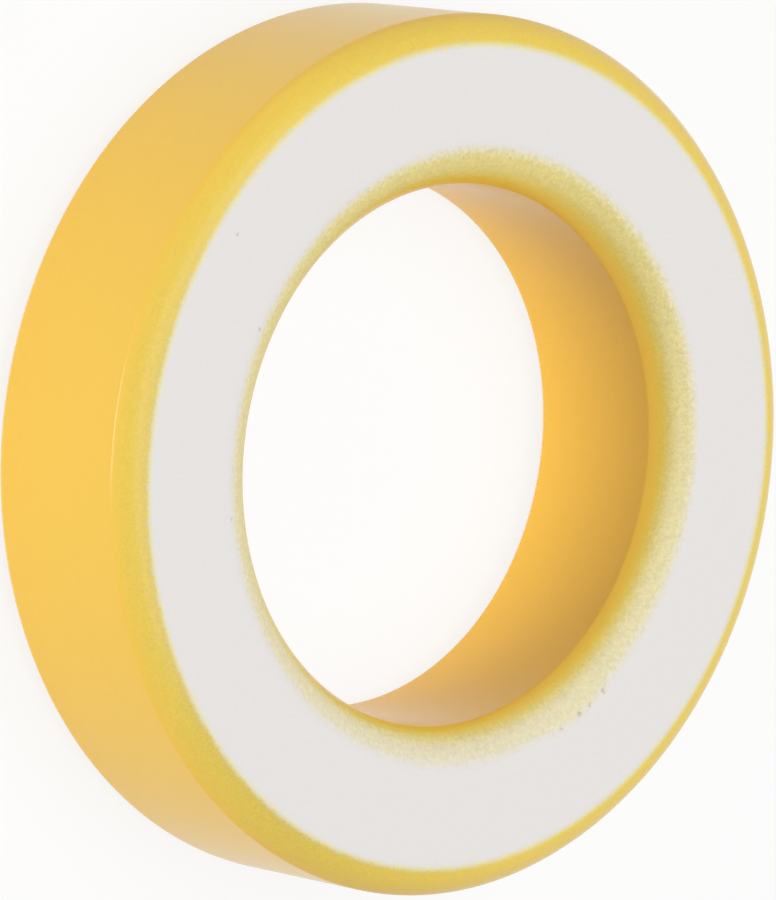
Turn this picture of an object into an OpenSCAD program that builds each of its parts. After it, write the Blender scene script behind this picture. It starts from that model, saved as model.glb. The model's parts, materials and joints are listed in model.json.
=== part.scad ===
// Coated toroid core: one pressed ring of powdered iron under a coloured epoxy coat.
// The ring lies flat on its plain side. Its axis is +Z and the origin is the centre of the
// lower face. All sizes are in millimetres and are taken over the coat.

/* [Ring] */
// Outside diameter
outer_d = 57.2; // [50:0.2:80]
// Radial width of the ring, from the bore wall to the outer wall
ring_w = 11; // [8:0.1:16]
// Height between the two flat faces
ring_h = 14; // [10:0.2:24]

/* [Outer bevel] */
// Radial width of the rounded bevel between a flat face and the outer wall
outer_bevel_w = 2.5; // [2:0.1:3.5]
// Length of the same bevel along the outer wall
outer_bevel_h = 1.6; // [0.8:0.1:1.8]

/* [Bore bevel] */
// Radial width of the rounded bevel between a flat face and the bore wall
bore_bevel_w = 3.4; // [2.2:0.1:4.2]
// Length of the same bevel along the bore wall
bore_bevel_h = 1.9; // [0.8:0.1:2]

/* [Coat] */
// Thickness of the coat, which rounds each pressed edge by as much
coat_t = 0.25; // [0.1:0.05:0.4]

/* [Hidden] */
$fn = 180;

outer_r = outer_d / 2;
bore_r = outer_r - ring_w;
// The sprayed face ends about one coat thickness down its bevels
spray_z = ring_h - coat_t;
// Every cut runs this far past the surface that it cuts
over = 1;
// An edge's round stands this little proud of its two surfaces, so that it crosses both cleanly
proud = 0.001;
// The cut round an edge reaches out this many coat thicknesses, clear of the edge at any bevel angle
edge_reach = 3;

// Radius of the bevel's arc, which leaves the flat face tangent and meets the wall at an edge
function bevel_r(w, h) = (w * w + h * h) / (2 * h);

// Height of the arc's meeting point with the wall once both are drawn in by the coat
function edge_y(w, h, t) = sqrt(pow(bevel_r(w, h) - t, 2) - pow(w - t, 2)) - bevel_r(w, h);

// What the die's rounded bevel takes from a square corner at the origin, the body being at x < 0, y < 0
module bevel_waste(w, h) {
    difference() {
        translate([-w, -h]) square([w + over, h + over]);
        translate([-w, -bevel_r(w, h)]) circle(r = bevel_r(w, h));
    }
}

// What the coat's own rounding takes from the edge where that bevel meets the wall
module edge_waste(w, h, t) {
    centre = [-t, edge_y(w, h, t)];
    away = atan2(centre[1] + bevel_r(w, h), w - t);
    reach = edge_reach * t;
    translate(centre) difference() {
        polygon([[0, 0], [reach, 0], [reach, reach * sin(away)], [reach * cos(away), reach * sin(away)]]);
        circle(r = t + proud);
    }
}

// Both cuts of one corner
module corner_waste(w, h) {
    bevel_waste(w, h);
    edge_waste(w, h, coat_t);
}

// The same corner cut at the upper and the lower face
module wall_waste(w, h) {
    translate([0, ring_h]) corner_waste(w, h);
    mirror([0, 1]) corner_waste(w, h);
}

// Section of the ring on the right of its axis
module ring_section() {
    difference() {
        translate([bore_r, 0]) square([ring_w, ring_h]);
        translate([outer_r, 0]) wall_waste(outer_bevel_w, outer_bevel_h);
        translate([bore_r, 0]) mirror([1, 0]) wall_waste(bore_bevel_w, bore_bevel_h);
    }
}

// The part of the section between two heights
module section_band(low, high) {
    intersection() {
        ring_section();
        translate([0, low]) square([outer_r + over, high - low]);
    }
}

// One solid: the golden coat up to the spray line, and the white sprayed face above it
module core() {
    color("goldenrod") rotate_extrude() section_band(0, spray_z);
    color("ivory") rotate_extrude() section_band(spray_z, ring_h);
}

core();
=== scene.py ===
"""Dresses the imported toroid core: its coated surface, its sprayed white face and a plain pale studio."""

import json
from math import cos, pi, radians, sin

import bmesh
import bpy
from mathutils import Euler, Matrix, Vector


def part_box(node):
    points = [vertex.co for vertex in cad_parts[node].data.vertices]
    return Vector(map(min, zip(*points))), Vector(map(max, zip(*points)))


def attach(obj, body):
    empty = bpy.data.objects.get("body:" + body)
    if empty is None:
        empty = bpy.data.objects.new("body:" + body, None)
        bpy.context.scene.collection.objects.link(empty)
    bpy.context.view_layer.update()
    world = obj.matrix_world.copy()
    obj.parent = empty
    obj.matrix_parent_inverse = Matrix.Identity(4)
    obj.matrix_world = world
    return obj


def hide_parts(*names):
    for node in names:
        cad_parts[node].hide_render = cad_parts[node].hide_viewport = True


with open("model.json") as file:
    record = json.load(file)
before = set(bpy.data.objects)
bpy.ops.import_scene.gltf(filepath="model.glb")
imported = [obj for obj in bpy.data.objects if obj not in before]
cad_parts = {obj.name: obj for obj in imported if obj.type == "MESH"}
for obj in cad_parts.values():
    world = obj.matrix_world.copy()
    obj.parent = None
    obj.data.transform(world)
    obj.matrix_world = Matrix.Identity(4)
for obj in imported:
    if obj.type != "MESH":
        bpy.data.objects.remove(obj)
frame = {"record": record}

bl_info = {
    "name": "Coated Toroid Core",
    "version": (1, 0, 0),
    "blender": (4, 5, 0),
    "location": "3D View > Sidebar > Toroid Core",
    "description": "Builds a coated toroid core with a sprayed face, and the studio that shows it",
    "category": "Object",
}

MM = 0.001
CORE_LOW, CORE_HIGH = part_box("core")
BORE_MOUNT = next(m for m in frame["record"]["mounts"] if m["name"] == "bore")

# Where the lamps stand, in metres. The side lamp and the edge lamp are below the table's level
TOP_LAMP = (-0.03, 0.05, 1.0)
SIDE_LAMP = (-0.983, -0.017, -0.182)
EDGE_LAMP = (-0.948, 0.184, -0.259)

# From here to LONE_SPECKS, every place, radius and height is in millimetres from the centre of the lower face
CORE_TOP = CORE_HIGH.z / MM
BORE_RADIUS = BORE_MOUNT["dims"]["r_mm"]
# The spray's two rims are circles a little off the axis, each fading over its softness to both sides
MASK_CENTRE, MASK_RADIUS, MASK_SOFTNESS = (-0.06, 0.0, 0.0), 26.72, 0.4
BORE_RIM_CENTRE, BORE_RIM_RADIUS, BORE_RIM_SOFTNESS = (0.18, 0.03, 0.0), 19.88, 0.55
# How far a whole step of grain pushes a rim in or out
RIM_RAGGEDNESS = 0.7
# The dust outside the mask: its cover this far past the rim, its cover at the bevel's edge, and where it ends
MASK_DUST, MASK_DUST_REACH = 0.11, 0.2
EDGE_DUST, EDGE_DUST_RADIUS, EDGE_DUST_END = 0.05, 28.3, 28.5
# The dust on the bore's bevel is full from this radius outwards. It leaves these shares of the coat open,
# on the side away from the gun's lean and on the side under it
BORE_DUST_RADIUS, OPEN_AWAY, OPEN_UNDER = 19.05, 0.65, 0.28
# How far below the upper face the spray ends, and its softness there
SPRAY_DEPTH, SPRAY_DEPTH_SOFTNESS = 2.0, 0.2
# The gun leant to the side at 258 degrees, where the most dust went down the bore's bevel
GUN_LEAN = (-0.208, -0.978, 0.0)
# Where the dust is dirtiest: on the bore's bevel at 20 degrees, and at the outer rim at 205 degrees
DIRTY_BORE = (0.94, 0.342, 0.0)
DIRTY_RIM = (-0.906, -0.423, 0.0)
# Where handling thinned the spray on the bore's rim, how far from there it tells, and how far it moved the rim
RUBBED_SPOT, RUB_REACH, RUB_DEPTH = (11.2, -16.6, 0.0), 4.5, 0.4
# Between the two rims
FACE_MIDDLE = 23.0


def round_ring(degrees, radius):
    """A place on the upper side by its angle round the ring and its distance from the axis, in millimetres."""
    return (radius * cos(radians(degrees)), radius * sin(radians(degrees)), 0.0)


# Specks of dirt in the spray: place, and radius in millimetres
LONE_SPECKS = [(round_ring(156, 20.25), 0.18), (round_ring(146, 25.2), 0.12), (round_ring(195, 27.05), 0.15),
               (round_ring(191, 20.05), 0.16), (round_ring(299, 20.35), 0.2), (round_ring(304, 20.3), 0.28),
               (round_ring(307, 20.3), 0.2), (round_ring(311, 20.3), 0.28)]

# Noise cells to the millimetre: rim grains of 0.3 mm, droplets of 0.15 mm, patches of 0.25 mm, dirt of 0.17 mm
# and orange peel of 0.4 mm. Droplets and dirt are drawn coarser than real ones, so that they show
RIM_GRAINS, DROPLETS, PATCHES, DIRT_SPECKS, PEEL = 3.2, 6.5, 4.0, 6.0, 2.4
# The bump's full step, of which the peel uses a small part
PEEL_HEIGHT = 0.03 * MM
# The seams between the swept bands close over this distance
SEAM = 0.001 * MM


def linear(hex_code):
    """An sRGB hex colour as linear red, green, blue and alpha."""
    values = [int(hex_code[i:i + 2], 16) / 255 for i in (1, 3, 5)]
    return [v / 12.92 if v <= 0.04045 else ((v + 0.055) / 1.055) ** 2.4 for v in values] + [1.0]


def add(tree, kind, inputs=None, **settings):
    """Adds a node, makes its settings, fills or links its inputs, and gives back its outputs."""
    node = tree.nodes.new(kind)
    for key, value in settings.items():
        setattr(node, key, value)
    for key, value in (inputs or {}).items():
        if isinstance(value, bpy.types.NodeSocket):
            tree.links.new(value, node.inputs[key])
        else:
            node.inputs[key].default_value = value
    return node.outputs


def new_group(name, inputs, outputs):
    """A geometry node group with these sockets, its input node's outputs and its output node's inputs."""
    tree = bpy.data.node_groups.new(name, "GeometryNodeTree")
    for socket, kind in inputs.items():
        tree.interface.new_socket(socket, in_out="INPUT", socket_type=kind)
    for socket, kind in outputs.items():
        tree.interface.new_socket(socket, in_out="OUTPUT", socket_type=kind)
    given = tree.nodes.new("NodeGroupInput").outputs
    result = tree.nodes.new("NodeGroupOutput").inputs
    return tree, given, result


def show_ramp(ramp, stops):
    """Gives a colour ramp these (position, linear colour) stops."""
    while len(ramp.elements) > 1:
        ramp.elements.remove(ramp.elements[-1])
    ramp.elements[0].position, ramp.elements[0].color = stops[0]
    for position, colour in stops[1:]:
        ramp.elements.new(position).color = colour


class ToroidRingSizes(bpy.types.PropertyGroup):
    """Sizes of the ring, all taken over the coat"""

    outer_diameter: bpy.props.FloatProperty(
        name="Outer Diameter", description="Outside diameter", unit="LENGTH",
        default=CORE_HIGH.x - CORE_LOW.x, min=0.02)
    bore_diameter: bpy.props.FloatProperty(
        name="Bore Diameter", description="Diameter of the straight bore wall", unit="LENGTH",
        default=2 * BORE_MOUNT["dims"]["r_mm"] * MM, min=0.01)
    height: bpy.props.FloatProperty(
        name="Height", description="Distance between the two flat faces", unit="LENGTH",
        default=CORE_HIGH.z - CORE_LOW.z, min=0.005)
    outer_bevel_width: bpy.props.FloatProperty(
        name="Outer Bevel Width", description="Radial width of the bevel at the outer wall", unit="LENGTH",
        default=2.5 * MM, min=0)
    outer_bevel_height: bpy.props.FloatProperty(
        name="Outer Bevel Height", description="Length of that bevel along the outer wall", unit="LENGTH",
        default=1.6 * MM, min=0)
    bore_bevel_width: bpy.props.FloatProperty(
        name="Bore Bevel Width", description="Radial width of the bevel at the bore", unit="LENGTH",
        default=3.4 * MM, min=0)
    bore_bevel_height: bpy.props.FloatProperty(
        name="Bore Bevel Height", description="Length of that bevel along the bore wall", unit="LENGTH",
        default=1.9 * MM, min=0)
    coat_thickness: bpy.props.FloatProperty(
        name="Coat Thickness", description="Thickness of the coat, and its radius on each pressed edge",
        unit="LENGTH", default=0.25 * MM, min=0)
    ring_segments: bpy.props.IntProperty(
        name="Ring Segments", description="Steps round the ring", default=360, min=24, max=480)
    bevel_steps: bpy.props.IntProperty(
        name="Bevel Steps", description="Points along each bevel's arc", default=12, min=3, max=24)
    edge_steps: bpy.props.IntProperty(
        name="Edge Steps", description="Points along the coat's rounding of each edge", default=4, min=2, max=8)
    flat_steps: bpy.props.IntProperty(
        name="Flat Steps", description="Points along each flat face and half wall", default=12, min=2, max=24)


class ToroidFinish(bpy.types.PropertyGroup):
    """Colours of the coat and of the sprayed face"""

    gold: bpy.props.FloatVectorProperty(
        name="Coat", description="Colour of the epoxy coat", subtype="COLOR", size=4,
        default=linear("#F5C74D"))
    white: bpy.props.FloatVectorProperty(
        name="Spray", description="Colour of the sprayed face", subtype="COLOR", size=4,
        default=linear("#F1EEEB"))
    dirt: bpy.props.FloatVectorProperty(
        name="Dirt", description="Colour of the specks in the thin dust", subtype="COLOR", size=4,
        default=linear("#7C7748"))
    coat_roughness: bpy.props.FloatProperty(
        name="Coat Roughness", description="Roughness of the satin coat", default=0.22, min=0, max=1)
    spray_roughness: bpy.props.FloatProperty(
        name="Spray Roughness", description="Roughness of the matt spray", default=0.7, min=0, max=1)


class ToroidStudio(bpy.types.PropertyGroup):
    """The floor, the light and the camera"""

    floor: bpy.props.FloatVectorProperty(
        name="Floor", description="Colour of the floor", subtype="COLOR", size=4, default=linear("#F5F5F4"))
    floor_whiteness: bpy.props.FloatProperty(
        name="Floor Whiteness", description="Share of plain white in what the camera sees of the floor",
        subtype="FACTOR", default=0.85, min=0, max=1)
    sky_level: bpy.props.FloatProperty(
        name="Sky Level", description="Strength of the even light from all round", default=0.2, min=0)
    top_power: bpy.props.FloatProperty(
        name="Top Power", description="Power of the large soft lamp overhead", unit="POWER",
        default=9.4, min=0)
    top_size: bpy.props.FloatProperty(
        name="Top Size", description="Width of the lamp overhead", unit="LENGTH", default=1.1, min=0.01)
    side_power: bpy.props.FloatProperty(
        name="Side Power", description="Power of the soft lamp at the near side", unit="POWER",
        default=4.35, min=0)
    side_size: bpy.props.FloatProperty(
        name="Side Size", description="Width of the lamp at the near side", unit="LENGTH",
        default=0.35, min=0.01)
    edge_power: bpy.props.FloatProperty(
        name="Edge Power", description="Power of the strip lamp that glints on the edge of the outer wall",
        unit="POWER", default=2.0, min=0)
    edge_size: bpy.props.FloatVectorProperty(
        name="Edge Size", description="Width and height of the strip lamp", unit="LENGTH", size=2,
        default=(0.3, 0.1), min=0.01)
    camera_place: bpy.props.FloatVectorProperty(
        name="Camera Place", description="Where the photographer's lens stood", subtype="TRANSLATION",
        unit="LENGTH", default=(-0.34565, 0.03934, 0.39234))
    camera_turn: bpy.props.FloatVectorProperty(
        name="Camera Turn", description="Turn of the camera, as XYZ angles", subtype="EULER",
        unit="ROTATION", default=(radians(-7.815), radians(-41.412), radians(5.188)))
    camera_lens: bpy.props.FloatProperty(
        name="Camera Lens", description="Focal length on a sensor whose long side is 36 mm",
        default=319.4, min=20)


def corner_group():
    """Node group for one corner of the section: the bevel's arc and the coat's rounding of its lower edge.

    The corner's faces would meet at the origin, and the body is at x < 0, y < 0.
    """
    tree, given, result = new_group(
        "pressed_corner",
        {"Width": "NodeSocketFloat", "Height": "NodeSocketFloat", "Coat": "NodeSocketFloat",
         "Bevel Steps": "NodeSocketInt", "Edge Steps": "NodeSocketInt"},
        {"Curve": "NodeSocketGeometry", "Depth": "NodeSocketFloat"})
    width, height, coat = given["Width"], given["Height"], given["Coat"]
    # The bevel's radius, from an arc that leaves the face tangent and meets the wall at an edge
    height_squared = add(tree, "ShaderNodeMath", {0: height, 1: height}, operation="MULTIPLY")[0]
    chord_squared = add(tree, "ShaderNodeMath", {0: width, 1: width, 2: height_squared},
                        operation="MULTIPLY_ADD")[0]
    twice_height = add(tree, "ShaderNodeMath", {0: height, 1: height}, operation="ADD")[0]
    radius = add(tree, "ShaderNodeMath", {0: chord_squared, 1: twice_height}, operation="DIVIDE")[0]
    # The rounding's centre lies where wall and arc meet once both are drawn in by the coat
    bare_radius = add(tree, "ShaderNodeMath", {0: radius, 1: coat}, operation="SUBTRACT")[0]
    bare_width = add(tree, "ShaderNodeMath", {0: width, 1: coat}, operation="SUBTRACT")[0]
    cosine = add(tree, "ShaderNodeMath", {0: bare_width, 1: bare_radius}, operation="DIVIDE")[0]
    edge_angle = add(tree, "ShaderNodeMath", {0: cosine}, operation="ARCCOSINE")[0]
    sine = add(tree, "ShaderNodeMath", {0: edge_angle}, operation="SINE")[0]
    rise = add(tree, "ShaderNodeMath", {0: bare_radius, 1: sine}, operation="MULTIPLY")[0]
    depth = add(tree, "ShaderNodeMath", {0: radius, 1: rise}, operation="SUBTRACT")[0]
    bevel_sweep = add(tree, "ShaderNodeMath", {0: pi / 2, 1: edge_angle}, operation="SUBTRACT")[0]
    arcs = []
    for steps, arc_radius, start, sweep, inward, down in (
            ("Bevel Steps", radius, edge_angle, bevel_sweep, width, radius),
            ("Edge Steps", coat, 0.0, edge_angle, coat, depth)):
        arc = add(tree, "GeometryNodeCurveArc", {"Resolution": given[steps], "Radius": arc_radius,
                  "Start Angle": start, "Sweep Angle": sweep}, mode="RADIUS")["Curve"]
        offset = add(tree, "ShaderNodeCombineXYZ", {"X": inward, "Y": down})[0]
        centre = add(tree, "ShaderNodeVectorMath", {0: offset, "Scale": -1.0}, operation="SCALE")[0]
        arcs.append(add(tree, "GeometryNodeTransform", {"Geometry": arc, "Translation": centre})[0])
    joined = tree.nodes.new("GeometryNodeJoinGeometry")
    for arc in arcs:
        tree.links.new(arc, joined.inputs[0])
    tree.links.new(joined.outputs[0], result["Curve"])
    tree.links.new(depth, result["Depth"])
    return tree


def ring_group():
    """Node group that sweeps the ring's section round its axis."""
    tree, given, result = new_group(
        "pressed_ring",
        {"Outer Diameter": "NodeSocketFloat", "Bore Diameter": "NodeSocketFloat", "Height": "NodeSocketFloat",
         "Outer Bevel Width": "NodeSocketFloat", "Outer Bevel Height": "NodeSocketFloat",
         "Bore Bevel Width": "NodeSocketFloat", "Bore Bevel Height": "NodeSocketFloat",
         "Coat Thickness": "NodeSocketFloat", "Ring Segments": "NodeSocketInt",
         "Bevel Steps": "NodeSocketInt", "Edge Steps": "NodeSocketInt", "Flat Steps": "NodeSocketInt",
         "Material": "NodeSocketMaterial"},
        {"Geometry": "NodeSocketGeometry"})
    half_height = add(tree, "ShaderNodeMath", {0: given["Height"], 1: 0.5}, operation="MULTIPLY")[0]
    both_diameters = add(tree, "ShaderNodeMath", {0: given["Outer Diameter"], 1: given["Bore Diameter"]},
                         operation="ADD")[0]
    middle_radius = add(tree, "ShaderNodeMath", {0: both_diameters, 1: 0.25}, operation="MULTIPLY")[0]
    spread = add(tree, "ShaderNodeMath", {0: given["Outer Diameter"], 1: given["Bore Diameter"]},
                 operation="SUBTRACT")[0]
    half_width = add(tree, "ShaderNodeMath", {0: spread, 1: 0.25}, operation="MULTIPLY")[0]
    # The upper half of the section, about its own middle
    upper = tree.nodes.new("GeometryNodeJoinGeometry")
    pressed_corner = corner_group()
    flat_ends = []
    for side, name in ((1.0, "Outer"), (-1.0, "Bore")):
        corner = add(tree, "GeometryNodeGroup",
                     {"Width": given[name + " Bevel Width"], "Height": given[name + " Bevel Height"],
                      "Coat": given["Coat Thickness"], "Bevel Steps": given["Bevel Steps"],
                      "Edge Steps": given["Edge Steps"]}, node_tree=pressed_corner)
        wall_x = add(tree, "ShaderNodeMath", {0: half_width, 1: side}, operation="MULTIPLY")[0]
        corner_place = add(tree, "ShaderNodeCombineXYZ", {"X": wall_x, "Y": half_height})[0]
        placed = add(tree, "GeometryNodeTransform", {"Geometry": corner["Curve"],
                     "Translation": corner_place, "Scale": (side, 1.0, 1.0)})[0]
        wall_top = add(tree, "ShaderNodeMath", {0: half_height, 1: corner["Depth"]}, operation="SUBTRACT")[0]
        wall_start = add(tree, "ShaderNodeCombineXYZ", {"X": wall_x})[0]
        wall_end = add(tree, "ShaderNodeCombineXYZ", {"X": wall_x, "Y": wall_top})[0]
        wall = add(tree, "GeometryNodeCurvePrimitiveLine", {"Start": wall_start, "End": wall_end})[0]
        divided = add(tree, "GeometryNodeResampleCurve", {"Curve": wall, "Count": given["Flat Steps"]})[0]
        for part in (placed, divided):
            tree.links.new(part, upper.inputs[0])
        flat_half = add(tree, "ShaderNodeMath", {0: half_width, 1: given[name + " Bevel Width"]},
                        operation="SUBTRACT")[0]
        flat_x = add(tree, "ShaderNodeMath", {0: flat_half, 1: side}, operation="MULTIPLY")[0]
        flat_ends.append(add(tree, "ShaderNodeCombineXYZ", {"X": flat_x, "Y": half_height})[0])
    face = add(tree, "GeometryNodeCurvePrimitiveLine", {"Start": flat_ends[0], "End": flat_ends[1]})[0]
    divided = add(tree, "GeometryNodeResampleCurve", {"Curve": face, "Count": given["Flat Steps"]})[0]
    tree.links.new(divided, upper.inputs[0])
    lower = add(tree, "GeometryNodeTransform", {"Geometry": upper.outputs[0], "Scale": (1.0, -1.0, 1.0)})[0]
    section = tree.nodes.new("GeometryNodeJoinGeometry")
    for half in (upper.outputs[0], lower):
        tree.links.new(half, section.inputs[0])
    # One turn round the axis, with the seams between the swept bands closed
    path = add(tree, "GeometryNodeCurvePrimitiveCircle", {"Resolution": given["Ring Segments"],
               "Radius": middle_radius}, mode="RADIUS")["Curve"]
    swept = add(tree, "GeometryNodeCurveToMesh", {"Curve": path, "Profile Curve": section.outputs[0]})[0]
    closed = add(tree, "GeometryNodeMergeByDistance", {"Geometry": swept, "Distance": SEAM})[0]
    lift = add(tree, "ShaderNodeCombineXYZ", {"Z": half_height})[0]
    standing = add(tree, "GeometryNodeTransform", {"Geometry": closed, "Translation": lift})[0]
    smooth = add(tree, "GeometryNodeSetShadeSmooth", {"Geometry": standing})[0]
    real = add(tree, "GeometryNodeRealizeInstances", {"Geometry": smooth})[0]
    finished = add(tree, "GeometryNodeSetMaterial", {"Geometry": real, "Material": given["Material"]})[0]
    tree.links.new(finished, result["Geometry"])
    return tree


def spray_cover(tree, flat_point, height, grain):
    """How much of the coat the white spray hides, and how dirty its thin dust is there, both from 0 to 1.

    The spray went through a round mask, so its outer rim is short and ragged. Round the bore it has a short
    rim too, and past that a dust that thins out down the bevel, thickest where the gun leant over.
    """
    out_from_rim = add(tree, "ShaderNodeVectorMath", {0: flat_point, 1: MASK_CENTRE}, operation="SUBTRACT")[0]
    outer_radius = add(tree, "ShaderNodeVectorMath", {0: out_from_rim}, operation="LENGTH")["Value"]
    ragged_out = add(tree, "ShaderNodeMath", {0: grain, 1: RIM_RAGGEDNESS, 2: outer_radius},
                     operation="MULTIPLY_ADD")[0]
    dense_out = add(tree, "ShaderNodeMapRange", {"Value": ragged_out,
                    "From Min": MASK_RADIUS + MASK_SOFTNESS, "From Max": MASK_RADIUS - MASK_SOFTNESS},
                    interpolation_type="SMOOTHSTEP")[0]
    edge_dust = add(tree, "ShaderNodeMapRange", {"Value": outer_radius, "From Min": EDGE_DUST_END,
                    "From Max": EDGE_DUST_RADIUS, "To Max": EDGE_DUST})[0]
    dust_out = add(tree, "ShaderNodeMapRange", {"Value": outer_radius, "From Min": EDGE_DUST_RADIUS,
                   "From Max": MASK_RADIUS + MASK_DUST_REACH, "To Min": edge_dust, "To Max": MASK_DUST})[0]
    cover_out = add(tree, "ShaderNodeMath", {0: dense_out, 1: dust_out}, operation="MAXIMUM")[0]

    in_from_rim = add(tree, "ShaderNodeVectorMath", {0: flat_point, 1: BORE_RIM_CENTRE},
                      operation="SUBTRACT")[0]
    inner_radius = add(tree, "ShaderNodeVectorMath", {0: in_from_rim}, operation="LENGTH")["Value"]
    ragged_in = add(tree, "ShaderNodeMath", {0: grain, 1: RIM_RAGGEDNESS, 2: inner_radius},
                    operation="MULTIPLY_ADD")[0]
    from_rub = add(tree, "ShaderNodeVectorMath", {0: flat_point, 1: RUBBED_SPOT},
                   operation="DISTANCE")["Value"]
    rubbed = add(tree, "ShaderNodeMapRange", {"Value": from_rub, "From Min": RUB_REACH, "From Max": 0.5,
                 "To Max": RUB_DEPTH}, interpolation_type="SMOOTHSTEP")[0]
    worn_in = add(tree, "ShaderNodeMath", {0: ragged_in, 1: rubbed}, operation="SUBTRACT")[0]
    bare = add(tree, "ShaderNodeMapRange", {"Value": worn_in,
               "From Min": BORE_RIM_RADIUS - BORE_RIM_SOFTNESS,
               "From Max": BORE_RIM_RADIUS + BORE_RIM_SOFTNESS, "To Min": 1.0, "To Max": 0.0},
               interpolation_type="SMOOTHSTEP")[0]
    direction = add(tree, "ShaderNodeVectorMath", {0: flat_point}, operation="NORMALIZE")[0]
    lean = add(tree, "ShaderNodeVectorMath", {0: direction, 1: GUN_LEAN}, operation="DOT_PRODUCT")["Value"]
    undusted = add(tree, "ShaderNodeMapRange", {"Value": lean, "From Min": -0.8, "To Min": OPEN_AWAY,
                   "To Max": OPEN_UNDER})[0]
    clear = add(tree, "ShaderNodeMapRange", {"Value": inner_radius, "From Min": BORE_RADIUS,
                "From Max": BORE_DUST_RADIUS, "To Min": 1.0, "To Max": undusted},
                interpolation_type="SMOOTHSTEP")[0]
    open_in = add(tree, "ShaderNodeMath", {0: bare, 1: clear}, operation="MULTIPLY")[0]
    cover_in = add(tree, "ShaderNodeMath", {0: 1.0, 1: open_in}, operation="SUBTRACT")[0]

    # Only the upper side was sprayed, down to the foot of the bore's bevel
    upper = add(tree, "ShaderNodeMapRange", {"Value": height,
                "From Min": CORE_TOP - SPRAY_DEPTH - SPRAY_DEPTH_SOFTNESS,
                "From Max": CORE_TOP - SPRAY_DEPTH + SPRAY_DEPTH_SOFTNESS})[0]
    both = add(tree, "ShaderNodeMath", {0: cover_in, 1: cover_out}, operation="MINIMUM")[0]
    cover = add(tree, "ShaderNodeMath", {0: both, 1: upper}, operation="MULTIPLY")[0]

    # Each rim's dust is dirty on one side only
    at_dirty_bore = add(tree, "ShaderNodeVectorMath", {0: direction, 1: DIRTY_BORE},
                        operation="DOT_PRODUCT")["Value"]
    dirt_in = add(tree, "ShaderNodeMapRange", {"Value": at_dirty_bore, "From Min": 0.6, "From Max": 0.95,
                  "To Min": 0.35, "To Max": 1.0})[0]
    at_dirty_rim = add(tree, "ShaderNodeVectorMath", {0: direction, 1: DIRTY_RIM},
                       operation="DOT_PRODUCT")["Value"]
    dirt_out = add(tree, "ShaderNodeMapRange", {"Value": at_dirty_rim, "From Min": 0.2, "From Max": 0.8,
                   "To Max": 1.1})[0]
    at_bore = add(tree, "ShaderNodeMath", {0: inner_radius, 1: FACE_MIDDLE}, operation="LESS_THAN")[0]
    # A Mix node's sockets go by number, because it has a set of the same names for each kind of data
    dirt = add(tree, "ShaderNodeMix", {0: at_bore, 2: dirt_out, 3: dirt_in}, data_type="FLOAT")[0]
    return cover, dirt


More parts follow.
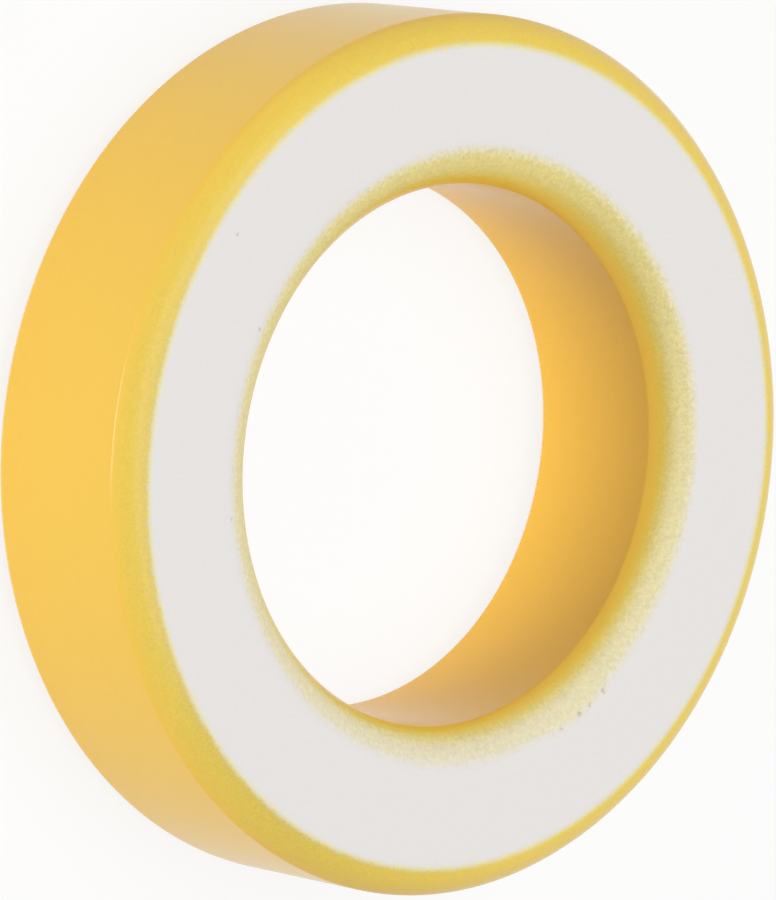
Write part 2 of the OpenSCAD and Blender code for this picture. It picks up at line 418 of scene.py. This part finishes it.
def epoxy_material(finish):
    """Epoxy powder coat, sprayed with electrostatic powder and baked, with one face then sprayed white.

    The baked powder flows out to a satin skin with a fine orange peel, which gives broad soft highlights
    and a grain in raking light. The white is a thin matt spray: dense on the flat face, it fades over the
    shoulders into a speckled dust that turns the gold a pale lemon.
    """
    material = bpy.data.materials.new("epoxy_coat_with_sprayed_face")
    material.use_nodes = True
    tree = material.node_tree
    tree.nodes.clear()
    # Everything below is in millimetres from the centre of the lower face
    place = add(tree, "ShaderNodeTexCoord")["Object"]
    point = add(tree, "ShaderNodeVectorMath", {0: place, "Scale": 1 / MM}, operation="SCALE")[0]
    height = add(tree, "ShaderNodeSeparateXYZ", {0: point})["Z"]
    flat_point = add(tree, "ShaderNodeVectorMath", {0: point, 1: (1.0, 1.0, 0.0)}, operation="MULTIPLY")[0]

    # Grains make the rims ragged
    grains = add(tree, "ShaderNodeTexNoise", {"Vector": point, "Scale": RIM_GRAINS, "Detail": 3.0,
                 "Roughness": 0.7})["Fac"]
    grain = add(tree, "ShaderNodeMath", {0: grains, 1: 0.5}, operation="SUBTRACT")[0]
    cover, dirt = spray_cover(tree, flat_point, height, grain)

    # Where the spray is thin it lies as droplets
    droplets = add(tree, "ShaderNodeTexNoise", {"Vector": point, "Scale": DROPLETS, "Detail": 2.0,
                   "Roughness": 0.8})["Fac"]
    droplet = add(tree, "ShaderNodeMath", {0: droplets, 1: 0.5}, operation="SUBTRACT")[0]
    open_share = add(tree, "ShaderNodeMath", {0: 1.0, 1: cover}, operation="SUBTRACT")[0]
    thin = add(tree, "ShaderNodeMath", {0: cover, 1: open_share}, operation="MULTIPLY")[0]
    spray = add(tree, "ShaderNodeMath", {0: droplet, 1: thin, 2: cover},
                operation="MULTIPLY_ADD", use_clamp=True)[0]

    # Gold, then lemon where the dust is thin, then cream, then white
    shades = tree.nodes.new("ShaderNodeValToRGB")
    show_ramp(shades.color_ramp, [
        (0.0, list(finish.gold)), (0.09, linear("#F7D65A")), (0.22, linear("#F4DD7C")),
        (0.4, linear("#F3E49C")), (0.65, linear("#F2E8BE")), (0.85, linear("#F1EBD8")),
        (1.0, list(finish.white))])
    tree.links.new(spray, shades.inputs["Fac"])

    # The coat's own grain: powder that melted into patches a little lighter and darker
    mottle = add(tree, "ShaderNodeTexNoise", {"Vector": point, "Scale": PATCHES, "Detail": 4.0,
                 "Roughness": 0.65})["Fac"]
    tone = add(tree, "ShaderNodeMapRange", {"Value": mottle, "From Min": 0.3, "From Max": 0.7,
               "To Min": 0.985, "To Max": 1.015})[0]
    # Thin spray shows the same grain as lighter and darker dust
    grainy = add(tree, "ShaderNodeMath", {0: thin, 1: 2.1}, operation="MULTIPLY")[0]
    lit = add(tree, "ShaderNodeMath", {0: grain, 1: grainy, 2: tone}, operation="MULTIPLY_ADD")[0]
    # Dirt in specks, most where the dust is about a fifth of a full cover
    open_spray = add(tree, "ShaderNodeMath", {0: 1.0, 1: spray}, operation="SUBTRACT", use_clamp=True)[0]
    mostly_open = add(tree, "ShaderNodeMath", {0: open_spray, 1: 4.0}, operation="POWER")[0]
    dusty = add(tree, "ShaderNodeMath", {0: spray, 1: mostly_open}, operation="MULTIPLY")[0]
    dirty = add(tree, "ShaderNodeMath", {0: dusty, 1: dirt}, operation="MULTIPLY")[0]
    specks = add(tree, "ShaderNodeTexNoise", {"Vector": point, "Scale": DIRT_SPECKS, "Detail": 2.0})["Fac"]
    speck = add(tree, "ShaderNodeMapRange", {"Value": specks, "From Min": 0.4, "From Max": 0.7,
                "To Min": 2.1, "To Max": 3.5})[0]
    shade = add(tree, "ShaderNodeMath", {0: speck, 1: dirty}, operation="MULTIPLY")[0]
    for spot, size in LONE_SPECKS:
        distance = add(tree, "ShaderNodeVectorMath", {0: flat_point, 1: spot},
                       operation="DISTANCE")["Value"]
        ragged = add(tree, "ShaderNodeMath", {0: droplet, 1: 0.8, 2: distance},
                     operation="MULTIPLY_ADD")[0]
        dot = add(tree, "ShaderNodeMapRange", {"Value": ragged, "From Min": size, "From Max": 0.0,
                  "To Max": 0.4}, interpolation_type="SMOOTHSTEP")[0]
        shade = add(tree, "ShaderNodeMath", {0: shade, 1: dot}, operation="MAXIMUM")[0]
    toned = add(tree, "ShaderNodeVectorMath", {0: shades.outputs["Color"], "Scale": lit},
                operation="SCALE")[0]
    colour = add(tree, "ShaderNodeMix", {0: shade, 6: toned, 7: list(finish.dirt)}, data_type="RGBA")[2]

    # Orange peel with a finer grain on it, a few micrometres high
    peel = add(tree, "ShaderNodeTexNoise", {"Vector": point, "Scale": PEEL, "Detail": 4.0,
               "Roughness": 0.65})["Fac"]
    normal = add(tree, "ShaderNodeBump", {"Height": peel, "Strength": 0.4, "Distance": PEEL_HEIGHT})["Normal"]
    roughness = add(tree, "ShaderNodeMapRange", {"Value": spray, "To Min": finish.coat_roughness,
                    "To Max": finish.spray_roughness})[0]
    shader = add(tree, "ShaderNodeBsdfPrincipled", {"Base Color": colour, "Roughness": roughness,
                 "IOR": 1.5, "Specular IOR Level": 0.3, "Normal": normal})[0]
    add(tree, "ShaderNodeOutputMaterial", {"Surface": shader})
    return material


def build_ring(sizes, finish):
    """The coated core as one closed mesh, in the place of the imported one."""
    carrier = bpy.data.objects.new("ring_carrier", bpy.data.meshes.new("ring_carrier"))
    bpy.context.scene.collection.objects.link(carrier)
    modifier = carrier.modifiers.new("Ring", "NODES")
    modifier.node_group = ring_group()
    values = {
        "Outer Diameter": sizes.outer_diameter, "Bore Diameter": sizes.bore_diameter,
        "Height": sizes.height, "Outer Bevel Width": sizes.outer_bevel_width,
        "Outer Bevel Height": sizes.outer_bevel_height, "Bore Bevel Width": sizes.bore_bevel_width,
        "Bore Bevel Height": sizes.bore_bevel_height, "Coat Thickness": sizes.coat_thickness,
        "Ring Segments": sizes.ring_segments, "Bevel Steps": sizes.bevel_steps,
        "Edge Steps": sizes.edge_steps, "Flat Steps": sizes.flat_steps,
        "Material": epoxy_material(finish),
    }
    for socket in modifier.node_group.interface.items_tree:
        if socket.in_out == "INPUT":
            modifier[socket.identifier] = values[socket.name]
    bpy.context.view_layer.update()
    evaluated = carrier.evaluated_get(bpy.context.evaluated_depsgraph_get())
    mesh = bpy.data.meshes.new_from_object(evaluated)
    bpy.data.objects.remove(carrier)
    shell = bmesh.new()
    shell.from_mesh(mesh)
    bmesh.ops.recalc_face_normals(shell, faces=shell.faces)
    shell.to_mesh(mesh)
    shell.free()
    piece = bpy.data.objects.new("coated_core", mesh)
    bpy.context.scene.collection.objects.link(piece)
    return piece


class OBJECT_OT_toroid_core(bpy.types.Operator):
    """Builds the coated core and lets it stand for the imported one"""

    bl_idname = "object.toroid_core"
    bl_label = "Build Coated Core"

    def execute(self, context):
        scene = context.scene
        piece = build_ring(scene.toroid_sizes, scene.toroid_finish)
        if not piece.data.polygons:
            raise RuntimeError("the coated core came out empty")
        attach(piece, "root")
        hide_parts("core")
        return {"FINISHED"}


def floor_material(studio):
    """Matt white studio paper: it keeps a soft shadow, and the camera sees it nearly white."""
    material = bpy.data.materials.new("matt_white_paper")
    material.use_nodes = True
    tree = material.node_tree
    tree.nodes.clear()
    paper = add(tree, "ShaderNodeBsdfDiffuse", {"Color": list(studio.floor)})[0]
    glow = add(tree, "ShaderNodeEmission", {"Color": (1.0, 1.0, 1.0, 1.0), "Strength": 1.0})[0]
    share = add(tree, "ShaderNodeMath", {0: seen_directly(tree), 1: studio.floor_whiteness},
                operation="MULTIPLY")[0]
    mixed = add(tree, "ShaderNodeMixShader", {0: share, 1: paper, 2: glow})[0]
    add(tree, "ShaderNodeOutputMaterial", {"Surface": mixed})
    return material


def seen_directly(tree):
    """1 for a ray that shows the background to the camera, by itself or in a reflection, else 0."""
    ray = add(tree, "ShaderNodeLightPath")
    first = add(tree, "ShaderNodeMath", {0: ray["Is Camera Ray"], 1: ray["Is Glossy Ray"]},
                operation="MAXIMUM")[0]
    return add(tree, "ShaderNodeMath", {0: first, 1: ray["Is Transmission Ray"]}, operation="MAXIMUM")[0]


def build_sky(studio):
    """An even light from all round, behind which the camera sees plain white."""
    world = bpy.data.worlds.new("studio_sky")
    bpy.context.scene.world = world
    world.use_nodes = True
    tree = world.node_tree
    tree.nodes.clear()
    level = add(tree, "ShaderNodeMapRange", {"Value": seen_directly(tree), "To Min": studio.sky_level,
                "To Max": 1.0})[0]
    sky = add(tree, "ShaderNodeBackground", {"Color": (1.0, 1.0, 1.0, 1.0), "Strength": level})[0]
    add(tree, "ShaderNodeOutputWorld", {"Surface": sky})


def build_lamp(name, place, power, width, height):
    """A soft lamp that looks at the middle of the ring."""
    data = bpy.data.lights.new(name, "AREA")
    data.shape = "RECTANGLE"
    data.energy, data.size, data.size_y = power, width, height
    lamp = bpy.data.objects.new(name, data)
    lamp.location = place
    lamp.rotation_mode = "QUATERNION"
    lamp.rotation_quaternion = (-lamp.location).to_track_quat("-Z", "Y")
    bpy.context.scene.collection.objects.link(lamp)
    return lamp


def build_floor(studio):
    """A wide white table under the ring.

    It keeps the ring's shadow and casts none itself, so the lamps below its level light the ring through it.
    A real table would stop them. They stand there to match the light on the ring's walls.
    """
    reach, gap = 3.0, 0.02 * MM
    mesh = bpy.data.meshes.new("studio_floor")
    mesh.from_pydata([(-reach, -reach, -gap), (reach, -reach, -gap), (reach, reach, -gap),
                      (-reach, reach, -gap)], [], [(0, 1, 2, 3)])
    mesh.materials.append(floor_material(studio))
    floor = bpy.data.objects.new("studio_floor", mesh)
    floor.visible_shadow = False
    bpy.context.scene.collection.objects.link(floor)


def build_camera(studio):
    """The camera, where the ring's outline, hole and edges fall as in the photograph."""
    data = bpy.data.cameras.new("camera")
    data.sensor_width, data.lens = 36.0, studio.camera_lens
    camera = bpy.data.objects.new("camera", data)
    camera.location = studio.camera_place
    camera.rotation_euler = Euler(studio.camera_turn, "XYZ")
    bpy.context.scene.collection.objects.link(camera)
    bpy.context.scene.camera = camera


class OBJECT_OT_toroid_studio(bpy.types.Operator):
    """Builds the floor, the sky, the three lamps and the camera"""

    bl_idname = "object.toroid_studio"
    bl_label = "Build Studio"

    def execute(self, context):
        studio = context.scene.toroid_studio
        build_floor(studio)
        build_sky(studio)
        build_lamp("top_lamp", TOP_LAMP, studio.top_power, studio.top_size, studio.top_size)
        build_lamp("side_lamp", SIDE_LAMP, studio.side_power, studio.side_size, studio.side_size)
        edge_lamp = build_lamp("edge_lamp", EDGE_LAMP, studio.edge_power, *studio.edge_size)
        # It shows only as a glint. Without importance sampling the table in between doesn't weaken the glint
        edge_lamp.visible_diffuse = False
        edge_lamp.data.cycles.use_multiple_importance_sampling = False
        build_camera(studio)
        context.scene.view_settings.view_transform = "Standard"
        return {"FINISHED"}


class VIEW3D_PT_toroid_core(bpy.types.Panel):
    """Shows the ring's sizes, its finish and its studio, and the buttons that build them"""

    bl_label = "Toroid Core"
    bl_idname = "VIEW3D_PT_toroid_core"
    bl_space_type = "VIEW_3D"
    bl_region_type = "UI"
    bl_category = "Toroid Core"

    def draw(self, context):
        scene = context.scene
        for group in (scene.toroid_sizes, scene.toroid_finish, scene.toroid_studio):
            box = self.layout.box()
            for name in group.__annotations__:
                box.prop(group, name)
        self.layout.operator("object.toroid_core")
        self.layout.operator("object.toroid_studio")


CLASSES = (ToroidRingSizes, ToroidFinish, ToroidStudio, OBJECT_OT_toroid_core, OBJECT_OT_toroid_studio,
           VIEW3D_PT_toroid_core)


def register():
    """Adds the property groups, the operators and the panel."""
    for cls in CLASSES:
        bpy.utils.register_class(cls)
    bpy.types.Scene.toroid_sizes = bpy.props.PointerProperty(type=ToroidRingSizes)
    bpy.types.Scene.toroid_finish = bpy.props.PointerProperty(type=ToroidFinish)
    bpy.types.Scene.toroid_studio = bpy.props.PointerProperty(type=ToroidStudio)


def unregister():
    """Takes them away again, the last first."""
    del bpy.types.Scene.toroid_studio
    del bpy.types.Scene.toroid_finish
    del bpy.types.Scene.toroid_sizes
    for cls in reversed(CLASSES):
        bpy.utils.unregister_class(cls)


def main():
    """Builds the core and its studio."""
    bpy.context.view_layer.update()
    register()
    bpy.ops.object.toroid_core()
    bpy.ops.object.toroid_studio()


if __name__ == "__main__":
    main()
